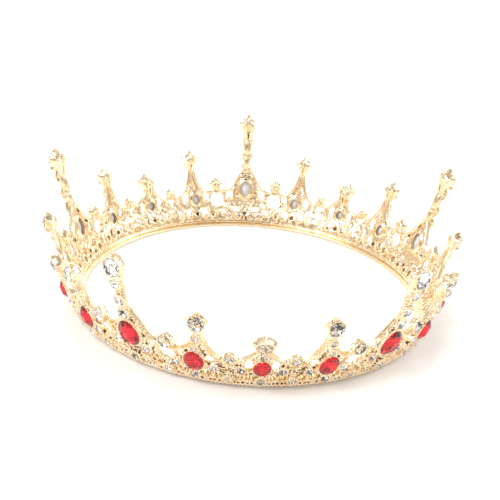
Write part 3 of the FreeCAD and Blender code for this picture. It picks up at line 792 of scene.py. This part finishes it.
class Stones:
    def __init__(self, name):
        self.name, self.v, self.f, self.k, self.tone, self.n = name, [], [], [], [], 0

    def put(self, cut, x, v, w=0.0, deg=0.0, tilt=0.0, pitch=0.0):
        P, F, K = cut
        if tilt:
            c, q = math.cos(tilt), math.sin(tilt)
            P = P @ np.array([[c, q, 0], [-q, c, 0], [0, 0, 1]])
        q = stone_points(P, x, v, w)
        self.v.append((nod(q, x, v, pitch) if pitch else q) @ turn(deg))
        self.f += [[i + self.n for i in f] for f in F]
        # painted shade: about one in seven foiled back facets, chosen at random, takes the dark shade foil, standing
        # in for facets that reflect dark surroundings
        rng = np.random.default_rng(41 + int(abs(x) * 10 + v * 7 + abs(deg)))
        self.k += [2 if k == 1 and rng.random() < 0.14 else k for k in K]
        self.n += len(P)

    def build(self, crown_mat, foil_mat, shade_mat):
        me = to_mesh(self.name, np.vstack(self.v), self.f)
        me.materials.append(crown_mat)
        me.materials.append(foil_mat)
        me.materials.append(shade_mat)
        for p, k in zip(me.polygons, self.k):
            p.material_index = k
            p.use_smooth = False
        bm = bmesh.new()
        bm.from_mesh(me)
        bmesh.ops.recalc_face_normals(bm, faces=bm.faces)
        bm.to_mesh(me)
        bm.free()
        ob = bpy.data.objects.new(self.name, me)
        bpy.context.scene.collection.objects.link(ob)
        return ob


# ----------------------------------------------------------------- materials
def new_mat(name):
    m = bpy.data.materials.new(name)
    m.use_nodes = True
    nt = m.node_tree
    nt.nodes.clear()
    return m, nt, nt.nodes, nt.links


def gold(name, tint, dark, crease_shade_colour, rough, rough_var, grain, grain_size, ao_shade_range):
    """Light gold plating: colour drifts a little, a dark brown painted shade sits in
    the creases and hollows, and a fine casting grain breaks up the gloss."""
    m, nt, N, L = new_mat(name)
    out = N.new("ShaderNodeOutputMaterial")
    p = N.new("ShaderNodeBsdfPrincipled")
    p.inputs["Metallic"].default_value = 1.0
    L.new(p.outputs[0], out.inputs[0])
    co = N.new("ShaderNodeTexCoord")
    big = N.new("ShaderNodeTexNoise")
    big.inputs["Scale"].default_value = 260.0
    big.inputs["Detail"].default_value = 3.0
    L.new(co.outputs["Object"], big.inputs["Vector"])
    fine = N.new("ShaderNodeTexNoise")
    fine.inputs["Scale"].default_value = grain_size
    fine.inputs["Detail"].default_value = 4.0
    fine.inputs["Roughness"].default_value = 0.6
    L.new(co.outputs["Object"], fine.inputs["Vector"])
    ramp = N.new("ShaderNodeValToRGB")
    ramp.color_ramp.elements[0].position = 0.30
    ramp.color_ramp.elements[0].color = (*dark, 1)
    ramp.color_ramp.elements[1].position = 0.62
    ramp.color_ramp.elements[1].color = (*tint, 1)
    L.new(big.outputs["Fac"], ramp.inputs["Fac"])
    geo = N.new("ShaderNodeNewGeometry")
    # painted shade mask: 1 along the creases between beads, found from pointiness
    seam = N.new("ShaderNodeValToRGB")      # 1 along the creases between beads
    seam.color_ramp.elements[0].position = 0.40
    seam.color_ramp.elements[0].color = (1, 1, 1, 1)
    seam.color_ramp.elements[1].position = 0.485
    seam.color_ramp.elements[1].color = (0, 0, 0, 1)
    L.new(geo.outputs["Pointiness"], seam.inputs["Fac"])
    # painted shade mask: ambient occlusion, 1 down in the hollows where shade falls
    hollow = N.new("ShaderNodeAmbientOcclusion")
    hollow.samples = 6
    hollow.only_local = True
    hollow.inputs["Distance"].default_value = 0.0011
    low = N.new("ShaderNodeValToRGB")       # 1 down in the hollows
    low.color_ramp.elements[0].position = ao_shade_range[0]
    low.color_ramp.elements[0].color = (1, 1, 1, 1)
    low.color_ramp.elements[1].position = ao_shade_range[1]
    low.color_ramp.elements[1].color = (0, 0, 0, 1)
    L.new(hollow.outputs["AO"], low.inputs["Fac"])
    deep = N.new("ShaderNodeMix")
    deep.data_type = "RGBA"
    deep.blend_type = "LIGHTEN"
    deep.inputs["Factor"].default_value = 1.0
    L.new(seam.outputs["Color"], deep.inputs[6])
    L.new(low.outputs["Color"], deep.inputs[7])
    # painted shade: the base colour turns to the dark crease shade colour where either mask is high
    mix = N.new("ShaderNodeMix")
    mix.data_type = "RGBA"
    L.new(deep.outputs[2], mix.inputs["Factor"])
    L.new(ramp.outputs["Color"], mix.inputs[6])
    mix.inputs[7].default_value = (*crease_shade_colour, 1)
    L.new(mix.outputs[2], p.inputs["Base Color"])
    mr = N.new("ShaderNodeMapRange")
    mr.inputs["From Min"].default_value = 0.3
    mr.inputs["From Max"].default_value = 0.7
    mr.inputs["To Min"].default_value = rough
    mr.inputs["To Max"].default_value = rough + rough_var
    L.new(fine.outputs["Fac"], mr.inputs["Value"])
    ma = N.new("ShaderNodeMath")
    ma.operation = "MULTIPLY_ADD"
    L.new(deep.outputs[2], ma.inputs[0])
    ma.inputs[1].default_value = 0.25
    L.new(mr.outputs["Result"], ma.inputs[2])
    L.new(ma.outputs[0], p.inputs["Roughness"])
    bump = N.new("ShaderNodeBump")
    bump.inputs["Strength"].default_value = grain
    bump.inputs["Distance"].default_value = 0.00012
    L.new(fine.outputs["Fac"], bump.inputs["Height"])
    L.new(bump.outputs["Normal"], p.inputs["Normal"])
    return m


def glass(name, color, ior, rough=0.0):
    m, nt, N, L = new_mat(name)
    out = N.new("ShaderNodeOutputMaterial")
    p = N.new("ShaderNodeBsdfPrincipled")
    p.inputs["IOR"].default_value = ior
    p.inputs["Transmission Weight"].default_value = 1.0
    L.new(p.outputs[0], out.inputs[0])
    co = N.new("ShaderNodeTexCoord")
    n = N.new("ShaderNodeTexNoise")
    n.inputs["Scale"].default_value = 420.0
    n.inputs["Detail"].default_value = 2.0
    L.new(co.outputs["Object"], n.inputs["Vector"])
    ramp = N.new("ShaderNodeValToRGB")
    ramp.color_ramp.elements[0].position = 0.25
    ramp.color_ramp.elements[0].color = (*[c * 0.97 for c in color], 1)
    ramp.color_ramp.elements[1].position = 0.7
    ramp.color_ramp.elements[1].color = (*color, 1)
    L.new(n.outputs["Fac"], ramp.inputs["Fac"])
    L.new(ramp.outputs["Color"], p.inputs["Base Color"])
    mr = N.new("ShaderNodeMapRange")
    mr.inputs["To Min"].default_value = rough
    mr.inputs["To Max"].default_value = rough + 0.02
    L.new(n.outputs["Fac"], mr.inputs["Value"])
    L.new(mr.outputs["Result"], p.inputs["Roughness"])
    return m


def foil(name, inner, outer):
    """Mirror foil seen through the stone, grey lacquer seen from behind."""
    m, nt, N, L = new_mat(name)
    out = N.new("ShaderNodeOutputMaterial")
    geo = N.new("ShaderNodeNewGeometry")
    mix = N.new("ShaderNodeMixShader")
    a = N.new("ShaderNodeBsdfPrincipled")
    a.inputs["Roughness"].default_value = 0.42
    b = N.new("ShaderNodeBsdfPrincipled")
    b.inputs["Metallic"].default_value = 1.0
    b.inputs["Roughness"].default_value = 0.05
    co = N.new("ShaderNodeTexCoord")
    n = N.new("ShaderNodeTexNoise")
    n.inputs["Scale"].default_value = 900.0
    n.inputs["Detail"].default_value = 3.0
    L.new(co.outputs["Object"], n.inputs["Vector"])
    for bs, col in ((a, outer), (b, inner)):
        r = N.new("ShaderNodeValToRGB")
        r.color_ramp.elements[0].position = 0.3
        r.color_ramp.elements[0].color = (*[c * 0.94 for c in col], 1)
        r.color_ramp.elements[1].position = 0.65
        r.color_ramp.elements[1].color = (*col, 1)
        L.new(n.outputs["Fac"], r.inputs["Fac"])
        L.new(r.outputs["Color"], bs.inputs["Base Color"])
    L.new(geo.outputs["Backfacing"], mix.inputs["Fac"])
    L.new(a.outputs[0], mix.inputs[1])
    L.new(b.outputs[0], mix.inputs[2])
    L.new(mix.outputs[0], out.inputs[0])
    return m


# painted shade: in each call the dark third colour is painted into creases and hollows; the last pair gives the
# occlusion values where that shade is full and where it fades out
CAST = gold("cast_gold", (1.0, 0.86, 0.64), (0.97, 0.71, 0.42), (0.22, 0.09, 0.03), 0.13, 0.12, 0.22, 2600.0,
            (0.26, 0.78))
POLISHED = gold("polished_gold", (0.99, 0.84, 0.60), (0.97, 0.78, 0.50), (0.62, 0.36, 0.16), 0.24, 0.10, 0.06, 900.0,
                (0.05, 0.40))
CLEAR = glass("clear_crystal", (1.0, 1.0, 1.0), 1.60)
SILVER = foil("silver_foil", (1.0, 1.0, 1.0), (0.78, 0.79, 0.81))
RED = glass("red_glass", (0.88, 0.016, 0.045), 1.56)
RED_FOIL = foil("red_foil", (0.98, 0.40, 0.44), (0.80, 0.81, 0.83))
# painted shade: darker copies of the mirror foils for the randomly chosen back facets, standing in for the dark
# surroundings they would reflect
SILVER_SHADE = foil("silver_foil_shade", (0.09, 0.095, 0.10), (0.78, 0.79, 0.81))    # facets turned from the light
RED_SHADE = foil("red_foil_shade", (0.60, 0.22, 0.25), (0.80, 0.81, 0.83))


# -------------------------------------------------------------------- pieces
def place(name, mesh, deg, nodes):
    if deg:
        mesh = mesh.copy()
        mesh.name = name
        mesh.transform(Matrix.Rotation(-math.radians(deg), 4, "Z"))
    ob = bpy.data.objects.new(name, mesh)
    bpy.context.scene.collection.objects.link(ob)
    bpy.context.view_layer.update()
    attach(ob, "root")
    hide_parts(*nodes)
    return ob


VOX = 0.165


def mirrored(mesh, name):
    me = mesh.copy()
    me.name = name
    me.transform(Matrix.Diagonal((-1, 1, 1, 1)))
    me.flip_normals()
    return me


tall_me = fused("tall_cast", panel_soup("tall"), max(VOX, 0.195))
medium_me = fused("medium_cast", panel_soup("medium"), VOX)
short_me = fused("short_cast", panel_soup("short"), VOX)
medium_mir = mirrored(medium_me, "medium_cast_mirrored")
for me in (tall_me, medium_me, short_me, medium_mir):
    me.materials.clear()
    me.materials.append(CAST)

for i, k in enumerate(TALL_AT):
    place("tall_cast_%d" % (i + 1), tall_me, k * PITCH, ["tall_panel_%d" % (i + 1)])
for i, k in enumerate(MEDIUM_AT):
    q = med_side(k)
    place("medium_cast_%d" % (i + 1), medium_me if q > 0 else medium_mir, k * PITCH + q * M_SHIFT,
          ["medium_panel_%d" % (i + 1)])
for i, k in enumerate(SHORT_AT):
    place("short_cast_%d" % (i + 1), short_me, k * PITCH, ["short_panel_%d" % (i + 1)])

# cups over the seams
TM = [k * PITCH + q * SEAM_TM for k in TALL_AT for q in (-1, 1)]
MS = [k * PITCH + q * SEAM_MS for k in TALL_AT for q in (-1, 1)]


def ringed(name, mesh, angles):
    """One mesh with the piece repeated round the crown."""
    n = len(mesh.vertices)
    co = np.empty(n * 3)
    mesh.vertices.foreach_get("co", co)
    co = co.reshape(-1, 3)
    fs = [tuple(p.vertices) for p in mesh.polygons]
    vs, faces = [], []
    for i, a in enumerate(angles):
        vs.append(co @ turn(a))
        faces += [tuple(j + i * n for j in f) for f in fs]
    me = bpy.data.meshes.new(name)
    me.from_pydata(np.vstack(vs).tolist(), [], faces)
    for p in me.polygons:
        p.use_smooth = True
    me.materials.append(CAST)
    return me


def bridge(v, d, R, depth, tip, prong, pitch):
    s = Soup()
    claw_cup(s, 0.0, v, d, R, depth, tip, prong, pitch)
    for x, y, r in ((0.0, v - R - 0.35, 0.5), (-0.8, v - R - 0.1, 0.42), (0.8, v - R - 0.1, 0.42)):
        s.bead(x, y, -0.9, r)
    return s


s = Soup()
round_setting(s, 0.0, LOWER_V, LOWER_D, prongs=4, ring=True)
for x, y, r in ((0, 7.0, 0.55), (-1.0, 6.9, 0.42), (1.0, 6.9, 0.42), (0, 8.0, 0.42)):
    s.bead(x, y, -1.0, r)
s.wire([(0, 5.9, -1.7), (0, 7.9, -1.75)], 0.75)
lower_me = fused("lower_cup", s, VOX)
tb_me = fused("tall_bridge", bridge(TALL_BRIDGE[0], TALL_BRIDGE[1], 2.75, 3.2, 3.70, 0.44, TALL_BRIDGE_NOD), VOX)
sb_me = fused("small_bridge", bridge(SMALL_BRIDGE[0], SMALL_BRIDGE[1], 2.15, 2.6, 2.95, 0.38, SMALL_BRIDGE_NOD), VOX)
place("tall_bridge_stars", ringed("tall_bridge_stars", tb_me, TM), 0, ["tall_bridge_cups"])
place("small_bridge_stars", ringed("small_bridge_stars", sb_me, MS), 0, ["small_bridge_cups"])
place("lower_bridge_settings", ringed("lower_bridge_settings", lower_me, TM + MS), 0, ["lower_bridge_cups"])


# base rim: flat band with a rolled bead along its inner edge
def rim_mesh():
    prof = [(70.55, 0.0), (72.3, 0.0), (72.7, 0.30), (72.88, 0.80), (72.88, 1.1), (72.75, 1.28), (72.4, 1.31),
            (71.35, 1.22), (71.05, 1.20)]
    for i in range(9):      # the bead
        t = math.radians(75 + i * 26)
        prof.append((70.56 + 0.55 * math.cos(t), 0.62 + 0.62 * math.sin(t)))
    prof = np.array(prof)
    n = 720
    a = 2 * np.pi * np.arange(n) / n
    m = len(prof)
    r = prof[None, :, 0] + 0.03 * np.sin(a * 41 + 1)[:, None] * (prof[None, :, 0] > 72.5)
    v = np.stack([r * np.sin(a)[:, None], r * np.cos(a)[:, None], np.repeat(prof[None, :, 1], n, 0)], -1)
    f = []
    for i in range(n):
        j = (i + 1) % n
        for k in range(m):
            l = (k + 1) % m
            f.append((i * m + k, j * m + k, j * m + l, i * m + l))
    me = to_mesh("rim_band", v.reshape(-1, 3), f)
    bm = bmesh.new()
    bm.from_mesh(me)
    bmesh.ops.recalc_face_normals(bm, faces=bm.faces)
    bm.to_mesh(me)
    bm.free()
    for p in me.polygons:
        p.use_smooth = True
    me.materials.append(POLISHED)
    return me


rim = place("rim_band", rim_mesh(), 0, ["base_rim"])
rim.data.set_sharp_from_angle(angle=math.radians(50))

# stones
cut_round = brilliant(1, 1, 0.34, 0.80, low=0.42)


def rnd(d):
    P, F, K = cut_round
    return P * (d / 2), F, K


def oval_cut(w, h):
    P, F, K = brilliant(1, 1, 0.44, 0.54, n=8, table=0.46, girdle=0.12, low=0.5)
    return P * np.array([w / 2, h / 2, w / 2]), F, K


def stones(name, node, items, crown, back, pitch=0.0, w=0.02):
    st = Stones(name)
    for i, (cut, x, v, deg) in enumerate(items):
        is_round = abs(cut[0][:, 0].max() - cut[0][:, 1].max()) < 1e-6
        st.put(cut, x, v, w, deg, tilt=0.37 * i if is_round else 0.0, pitch=pitch)
    ob = st.build(crown, back, RED_SHADE if back is RED_FOIL else SILVER_SHADE)
    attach(ob, "root")
    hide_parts(node)
    return ob


for i, k in enumerate(TALL_AT):
    stones("tall_ruby_%d" % (i + 1), "tall_red_stone_%d" % (i + 1),
           [(oval_cut(*TALL_RED[:2]), 0.0, TALL_RED[2], k * PITCH)], RED, RED_FOIL)
for i, k in enumerate(MEDIUM_AT):
    stones("medium_ruby_%d" % (i + 1), "medium_red_stone_%d" % (i + 1),
           [(oval_cut(*MEDIUM_RED[:2]), 0.0, MEDIUM_RED[2], k * PITCH + med_side(k) * M_SHIFT)], RED, RED_FOIL)
for i, k in enumerate(SHORT_AT):
    stones("short_ruby_%d" % (i + 1), "short_red_stone_%d" % (i + 1),
           [(oval_cut(*SHORT_RED[:2]), 0.0, SHORT_RED[2], k * PITCH)], RED, RED_FOIL)

med = [(k * PITCH + med_side(k) * M_SHIFT, med_side(k)) for k in MEDIUM_AT]
stones("tall_finial_stones", "tall_finial_crystals",
       [(rnd(TALL_FINIAL[2]), 0.0, TALL_FINIAL[1], k * PITCH) for k in TALL_AT], CLEAR, SILVER,
       TALL_NOD, 0.28)
stones("medium_finial_stones", "medium_finial_crystals",
       [(rnd(MEDIUM_FINIAL[2]), q * MEDIUM_FINIAL[0], MEDIUM_FINIAL[1], a) for a, q in med], CLEAR, SILVER,
       MEDIUM_NOD, 0.28)
stones("short_finial_stones", "short_finial_crystals",
       [(rnd(SHORT_FINIAL[2]), 0.0, SHORT_FINIAL[1], k * PITCH) for k in SHORT_AT], CLEAR, SILVER,
       SHORT_NOD, 0.32)
stones("tall_stem_stones", "tall_stem_crystals",
       [(rnd(d), x, v, k * PITCH) for k in TALL_AT for x, v, d in TALL_STEM], CLEAR, SILVER,
       w=STEM_W + 0.02)
stones("medium_stem_stones", "medium_stem_crystals",
       [(rnd(d), q * x, v, a) for a, q in med for x, v, d in MEDIUM_STEM], CLEAR, SILVER)
stones("short_stem_stones", "short_stem_crystals",
       [(rnd(d), x, v, k * PITCH) for k in SHORT_AT for x, v, d in SHORT_STEM], CLEAR, SILVER)
stones("side_stones", "side_crystals",
       [(rnd(d), x, v, k * PITCH) for k in TALL_AT for x, v, d in TALL_SIDE]
       + [(rnd(d), q * x, v, a) for a, q in med for x, v, d in MEDIUM_SIDE]
       + [(rnd(d), x, v, k * PITCH) for k in SHORT_AT for x, v, d in SHORT_SIDE], CLEAR, SILVER)
stones("bottom_stones", "bottom_crystals",
       [(rnd(BOTTOM_D), 0.0, BOTTOM_V, k * PITCH) for k in TALL_AT + SHORT_AT]
       + [(rnd(BOTTOM_D), 0.0, BOTTOM_V_M, a) for a, q in med], CLEAR, SILVER)
stones("lower_bridge_stones", "lower_bridge_crystals", [(rnd(LOWER_D), 0.0, LOWER_V, a) for a in TM + MS],
       CLEAR, SILVER)
stones("tall_bridge_stones", "tall_bridge_crystals", [(rnd(TALL_BRIDGE[1]), 0.0, TALL_BRIDGE[0], a) for a in TM],
       CLEAR, SILVER, TALL_BRIDGE_NOD, 0.25)
stones("small_bridge_stones", "small_bridge_crystals", [(rnd(SMALL_BRIDGE[1]), 0.0, SMALL_BRIDGE[0], a) for a in MS],
       CLEAR, SILVER, SMALL_BRIDGE_NOD, 0.22)


# --------------------------------------------------------------------- stage
def floor():
    m, nt, N, L = new_mat("pale_floor")
    out = N.new("ShaderNodeOutputMaterial")
    p = N.new("ShaderNodeBsdfPrincipled")
    p.inputs["Roughness"].default_value = 0.9
    p.inputs["Specular IOR Level"].default_value = 0.1
    L.new(p.outputs[0], out.inputs[0])
    n = N.new("ShaderNodeTexNoise")
    n.inputs["Scale"].default_value = 3.0
    co = N.new("ShaderNodeTexCoord")
    L.new(co.outputs["Object"], n.inputs["Vector"])
    r = N.new("ShaderNodeValToRGB")
    r.color_ramp.elements[0].color = (0.95, 0.95, 0.95, 1)
    r.color_ramp.elements[1].color = (0.97, 0.97, 0.97, 1)
    L.new(n.outputs["Fac"], r.inputs["Fac"])
    L.new(r.outputs["Color"], p.inputs["Base Color"])
    L.new(r.outputs["Color"], p.inputs["Emission Color"])      # a table lit from below
    p.inputs["Emission Strength"].default_value = 0.12
    me = bpy.data.meshes.new("studio_floor")
    bm = bmesh.new()
    bmesh.ops.create_grid(bm, x_segments=2, y_segments=2, size=3.0)
    bm.to_mesh(me)
    bm.free()
    me.materials.append(m)
    ob = bpy.data.objects.new("studio_floor", me)
    ob.location = (0, 0, CAD_LO[2] - 0.0002)
    bpy.context.scene.collection.objects.link(ob)


floor()


def area(name, loc, size, power, look=(0, 0, 0.02), color=(1, 1, 1)):
    d = bpy.data.lights.new(name, "AREA")
    d.shape = "RECTANGLE"
    d.size, d.size_y = size
    d.energy = power
    d.color = color
    ob = bpy.data.objects.new(name, d)
    ob.location = loc
    ob.rotation_euler = (Vector(look) - Vector(loc)).to_track_quat("-Z", "Y").to_euler()
    bpy.context.scene.collection.objects.link(ob)
    return ob


area("key_softbox", (-0.9, -0.5, 1.3), (0.9, 0.9), 14.0)
area("fill_softbox", (1.1, 0.3, 0.9), (0.8, 0.8), 7.0)
area("back_softbox", (0.0, 1.3, 0.9), (1.2, 0.5), 8.0)

world = bpy.data.worlds.new("studio")
bpy.context.scene.world = world
world.use_nodes = True
N, L = world.node_tree.nodes, world.node_tree.links
N.clear()
wo = N.new("ShaderNodeOutputWorld")
bg = N.new("ShaderNodeBackground")
L.new(bg.outputs[0], wo.inputs[0])
tc = N.new("ShaderNodeTexCoord")


def toward(direction, stops):
    """Light by the angle from a direction of the sky, warmer where it is
    darker; stops are (cosine, light)."""
    dot = N.new("ShaderNodeVectorMath")
    dot.operation = "DOT_PRODUCT"
    L.new(tc.outputs["Generated"], dot.inputs[0])
    v = Vector(direction).normalized()
    dot.inputs[1].default_value = v[:]
    r = N.new("ShaderNodeValToRGB")
    e = r.color_ramp.elements
    while len(e) < len(stops):
        e.new(0.5)
    for q, (pos, grey) in zip(e, stops):
        q.position, q.color = pos, (grey, grey ** 1.25, grey ** 1.6, 1) if grey < 1 else (grey, grey, grey, 1)
    L.new(dot.outputs["Value"], r.inputs["Fac"])
    return r.outputs["Color"]


def times(a, b):
    m = N.new("ShaderNodeMix")
    m.data_type = "RGBA"
    m.blend_type = "MULTIPLY"
    m.inputs["Factor"].default_value = 1.0
    L.new(a, m.inputs[6])
    L.new(b, m.inputs[7])
    return m.outputs[2]


# a white tent with the photographer's opening and gaps between its panels
sky = toward((-0.07, -0.93, 0.37), [(0.90, 1.0), (0.93, 1.5), (0.974, 1.5), (0.989, 0.02)])
spots = N.new("ShaderNodeTexVoronoi")       # clips and stand heads seen as small dark points
spots.inputs["Scale"].default_value = 3.1
L.new(tc.outputs["Generated"], spots.inputs["Vector"])
dots = N.new("ShaderNodeValToRGB")
dots.color_ramp.elements[0].position, dots.color_ramp.elements[0].color = 0.22, (0.07, 0.035, 0.015, 1)
dots.color_ramp.elements[1].position, dots.color_ramp.elements[1].color = 0.31, (1, 1, 1, 1)
L.new(spots.outputs["Distance"], dots.inputs["Fac"])
sky = times(sky, dots.outputs["Color"])
sky = times(sky, toward((0, 0, 1), [(0.0, 0.74), (0.45, 0.78), (0.75, 1.0)]))
for az in (35, 95, 150, 215, 268, 325):
    t = math.radians(az)
    side = (math.cos(t), -math.sin(t), 0.0)      # a gap is a thin upright slot
    slot = toward(side, [(0.0, 1.0), (0.035, 0.25), (0.085, 0.25), (0.12, 1.0)])
    sky = times(sky, slot)
L.new(sky, bg.inputs["Color"])
bg.inputs["Strength"].default_value = 1.04

# -------------------------------------------------------------------- camera
cam_d = bpy.data.cameras.new("camera")
cam = bpy.data.objects.new("camera", cam_d)
bpy.context.scene.collection.objects.link(cam)
bpy.context.scene.camera = cam
PHI, ELEV, ROLL, DIST = math.radians(-4.599), 0.477223, 0.078432, 411.72
a = math.pi - PHI          # where the camera stands, clockwise from +Y
pos = np.array([DIST * math.cos(ELEV) * math.sin(a), DIST * math.cos(ELEV) * math.cos(a), DIST * math.sin(ELEV)])
fwd = -pos / np.linalg.norm(pos)
right = np.cross(fwd, [0, 0, 1.0])
right /= np.linalg.norm(right)
up = np.cross(right, fwd)
r2 = right * math.cos(ROLL) + up * math.sin(ROLL)
u2 = -right * math.sin(ROLL) + up * math.cos(ROLL)
mw = Matrix.Identity(4)
for i in range(3):
    mw[i][0], mw[i][1], mw[i][2], mw[i][3] = r2[i], u2[i], -fwd[i], pos[i] * 0.001
cam.matrix_world = mw
cam_d.sensor_width = 36.0
cam_d.lens = 958.02 * 36.0 / 500.0
cam_d.shift_x = -0.245 / 500.0
cam_d.shift_y = 41.84 / 500.0
cam_d.clip_start, cam_d.clip_end = 0.01, 20.0

scene = bpy.context.scene
scene.view_settings.view_transform = "Standard"
scene.view_settings.look = "None"
